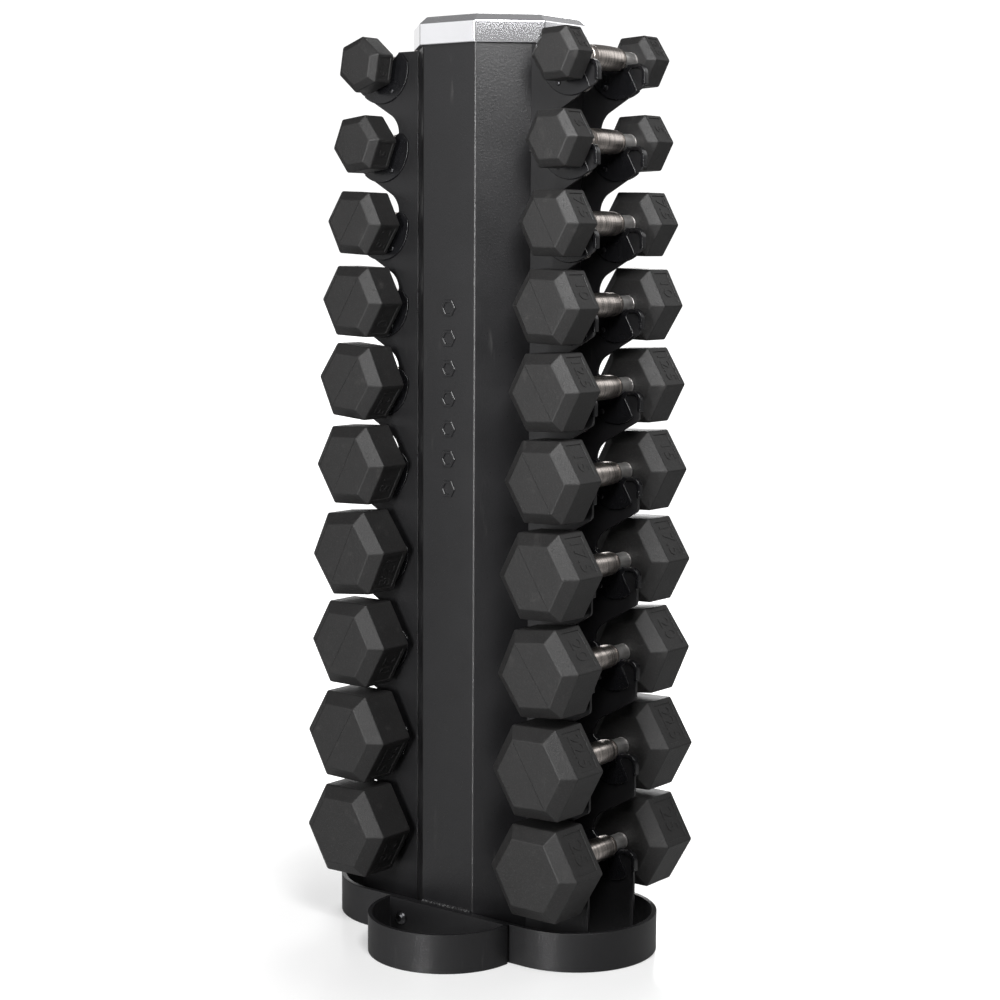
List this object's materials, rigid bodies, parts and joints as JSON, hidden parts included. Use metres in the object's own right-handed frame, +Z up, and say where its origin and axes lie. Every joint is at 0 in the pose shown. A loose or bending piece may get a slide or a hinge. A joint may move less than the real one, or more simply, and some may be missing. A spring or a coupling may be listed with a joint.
{
  "type": "dumbbell rack",
  "caption": "Free-standing dumbbell tree: eight-sided post on a looped flat-bar base, hooked saddle plates down both sides, each tier holding a pair of hex dumbbells.",
  "frame": {"origin": "the middle of the object on the floor, under the post's axis", "axes": "+Z up along the post, +X to the right along the base loop, -Y to the front with its plain post face; the handles lie along Y"},
  "size_m": [0.465, 0.4192, 1.1615],
  "materials": {
    "post_paint": "satin black powder coat with a fine texture",
    "plate_paint": "satin black powder coat with a fine texture",
    "base_paint": "satin black powder coat on flat bar",
    "cap": "light silver grey, satin",
    "fastener": "black zinc",
    "dumbbell": "iron heads in matte black rubber on a satin chrome handle"
  },
  "bodies": {
    "rack": {"post_shell": "post_paint", "top_cap": "cap", "base_loop": "base_paint", "front_hoop": "base_paint", "rear_hoop": "base_paint", "bolt_front_left": "fastener", "nut_front_left": "fastener", "bolt_front_right": "fastener", "nut_front_right": "fastener", "bolt_rear_left": "fastener", "nut_rear_left": "fastener", "bolt_rear_right": "fastener", "nut_rear_right": "fastener", "saddle_plate_left_front": "plate_paint", "saddle_plate_left_rear": "plate_paint", "saddle_plate_right_front": "plate_paint", "saddle_plate_right_rear": "plate_paint"},
    "dumbbell_left_01": {"dumbbell_left_01": "dumbbell"},
    "dumbbell_left_02": {"dumbbell_left_02": "dumbbell"},
    "dumbbell_left_03": {"dumbbell_left_03": "dumbbell"},
    "dumbbell_left_04": {"dumbbell_left_04": "dumbbell"},
    "dumbbell_left_05": {"dumbbell_left_05": "dumbbell"},
    "dumbbell_left_06": {"dumbbell_left_06": "dumbbell"},
    "dumbbell_left_07": {"dumbbell_left_07": "dumbbell"},
    "dumbbell_left_08": {"dumbbell_left_08": "dumbbell"},
    "dumbbell_left_09": {"dumbbell_left_09": "dumbbell"},
    "dumbbell_left_10": {"dumbbell_left_10": "dumbbell"},
    "dumbbell_right_01": {"dumbbell_right_01": "dumbbell"},
    "dumbbell_right_02": {"dumbbell_right_02": "dumbbell"},
    "dumbbell_right_03": {"dumbbell_right_03": "dumbbell"},
    "dumbbell_right_04": {"dumbbell_right_04": "dumbbell"},
    "dumbbell_right_05": {"dumbbell_right_05": "dumbbell"},
    "dumbbell_right_06": {"dumbbell_right_06": "dumbbell"},
    "dumbbell_right_07": {"dumbbell_right_07": "dumbbell"},
    "dumbbell_right_08": {"dumbbell_right_08": "dumbbell"},
    "dumbbell_right_09": {"dumbbell_right_09": "dumbbell"},
    "dumbbell_right_10": {"dumbbell_right_10": "dumbbell"}
  },
  "joints": [
    {"name": "lift_left_01", "type": "slide", "parent": "rack", "child": "dumbbell_left_01", "axis": [0, 0, 1], "range_m": [0, 0.06]},
    {"name": "lift_left_02", "type": "slide", "parent": "rack", "child": "dumbbell_left_02", "axis": [0, 0, 1], "range_m": [0, 0.026]},
    {"name": "lift_left_03", "type": "slide", "parent": "rack", "child": "dumbbell_left_03", "axis": [0, 0, 1], "range_m": [0, 0.02]},
    {"name": "lift_left_04", "type": "slide", "parent": "rack", "child": "dumbbell_left_04", "axis": [0, 0, 1], "range_m": [0, 0.011]},
    {"name": "lift_left_05", "type": "slide", "parent": "rack", "child": "dumbbell_left_05", "axis": [0, 0, 1], "range_m": [0, 0.005]},
    {"name": "lift_left_06", "type": "slide", "parent": "rack", "child": "dumbbell_left_06", "axis": [0, 0, 1], "range_m": [0, 0.005]},
    {"name": "lift_left_07", "type": "slide", "parent": "rack", "child": "dumbbell_left_07", "axis": [0, 0, 1], "range_m": [0, 0.005]},
    {"name": "lift_left_08", "type": "slide", "parent": "rack", "child": "dumbbell_left_08", "axis": [0, 0, 1], "range_m": [0, 0.006]},
    {"name": "lift_left_09", "type": "slide", "parent": "rack", "child": "dumbbell_left_09", "axis": [0, 0, 1], "range_m": [0, 0.008]},
    {"name": "lift_left_10", "type": "slide", "parent": "rack", "child": "dumbbell_left_10", "axis": [0, 0, 1], "range_m": [0, 0.007]},
    {"name": "lift_right_01", "type": "slide", "parent": "rack", "child": "dumbbell_right_01", "axis": [0, 0, 1], "range_m": [0, 0.06]},
    {"name": "lift_right_02", "type": "slide", "parent": "rack", "child": "dumbbell_right_02", "axis": [0, 0, 1], "range_m": [0, 0.031]},
    {"name": "lift_right_03", "type": "slide", "parent": "rack", "child": "dumbbell_right_03", "axis": [0, 0, 1], "range_m": [0, 0.022]},
    {"name": "lift_right_04", "type": "slide", "parent": "rack", "child": "dumbbell_right_04", "axis": [0, 0, 1], "range_m": [0, 0.012]},
    {"name": "lift_right_05", "type": "slide", "parent": "rack", "child": "dumbbell_right_05", "axis": [0, 0, 1], "range_m": [0, 0.007]},
    {"name": "lift_right_06", "type": "slide", "parent": "rack", "child": "dumbbell_right_06", "axis": [0, 0, 1], "range_m": [0, 0.007]},
    {"name": "lift_right_07", "type": "slide", "parent": "rack", "child": "dumbbell_right_07", "axis": [0, 0, 1], "range_m": [0, 0.006]},
    {"name": "lift_right_08", "type": "slide", "parent": "rack", "child": "dumbbell_right_08", "axis": [0, 0, 1], "range_m": [0, 0.005]},
    {"name": "lift_right_09", "type": "slide", "parent": "rack", "child": "dumbbell_right_09", "axis": [0, 0, 1], "range_m": [0, 0.004]},
    {"name": "lift_right_10", "type": "slide", "parent": "rack", "child": "dumbbell_right_10", "axis": [0, 0, 1], "range_m": [0, 0.007]}
  ]
}
